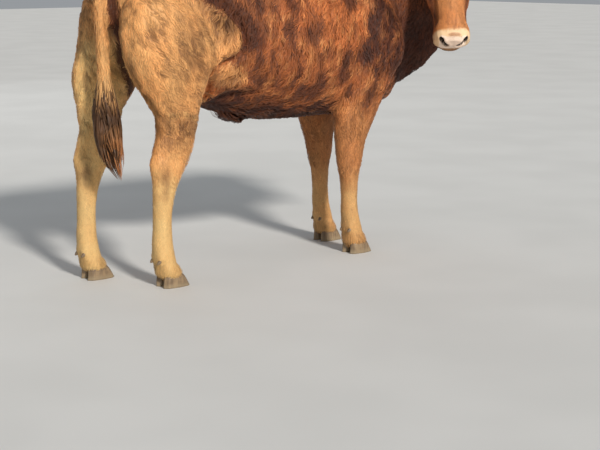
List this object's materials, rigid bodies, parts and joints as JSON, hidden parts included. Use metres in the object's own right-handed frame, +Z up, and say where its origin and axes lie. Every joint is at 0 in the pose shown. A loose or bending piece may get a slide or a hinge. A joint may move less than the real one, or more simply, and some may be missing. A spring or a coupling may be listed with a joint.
{
  "type": "cow",
  "caption": "standing polled beef heifer with a wavy red-gold coat, pale legs and a dark tail switch, looking back over its right side",
  "frame": {"origin": "on the floor, under the middle of the whole animal's bounding box", "axes": "+X from the tail towards the chest, +Y to the animal's left, +Z up"},
  "size_m": [1.8396, 0.818, 1.3994],
  "materials": {
    "coat_red": "dense wavy winter hair, matt with a soft sheen",
    "coat_gold": "short smooth hair, matt",
    "coat_cream": "short pale hair, matt",
    "nose_skin": "bare pebbled skin, slightly moist",
    "tail_hair": "long dark hair in locks",
    "claw_horn": "worn horn, satin",
    "eye": "wet and dark, full gloss"
  },
  "bodies": {
    "root": {"trunk": "coat_red", "neck": "coat_red", "head": "coat_red", "ear_left": "coat_red", "ear_right": "coat_red", "shoulder_left": "coat_red", "shoulder_right": "coat_red", "lower_jaw": "coat_red", "thigh_left": "coat_gold", "thigh_right": "coat_gold", "forearm_left": "coat_gold", "forearm_right": "coat_gold", "tail_1": "coat_gold", "tail_2": "coat_gold", "tail_3": "coat_gold", "tail_4": "coat_gold", "hock_left": "coat_cream", "hock_right": "coat_cream", "hind_cannon_left": "coat_cream", "hind_cannon_right": "coat_cream", "fore_cannon_left": "coat_cream", "fore_cannon_right": "coat_cream", "muzzle": "nose_skin", "tail_switch": "tail_hair", "eye_left": "eye", "eye_right": "eye", "hind_right_claw_outer": "claw_horn", "hind_right_claw_inner": "claw_horn", "hind_right_dewclaw_outer": "claw_horn", "hind_right_dewclaw_inner": "claw_horn", "hind_left_claw_outer": "claw_horn", "hind_left_claw_inner": "claw_horn", "hind_left_dewclaw_outer": "claw_horn", "hind_left_dewclaw_inner": "claw_horn", "fore_right_claw_outer": "claw_horn", "fore_right_claw_inner": "claw_horn", "fore_right_dewclaw_outer": "claw_horn", "fore_right_dewclaw_inner": "claw_horn", "fore_left_claw_outer": "claw_horn", "fore_left_claw_inner": "claw_horn", "fore_left_dewclaw_outer": "claw_horn", "fore_left_dewclaw_inner": "claw_horn"}
  },
  "joints": []
}
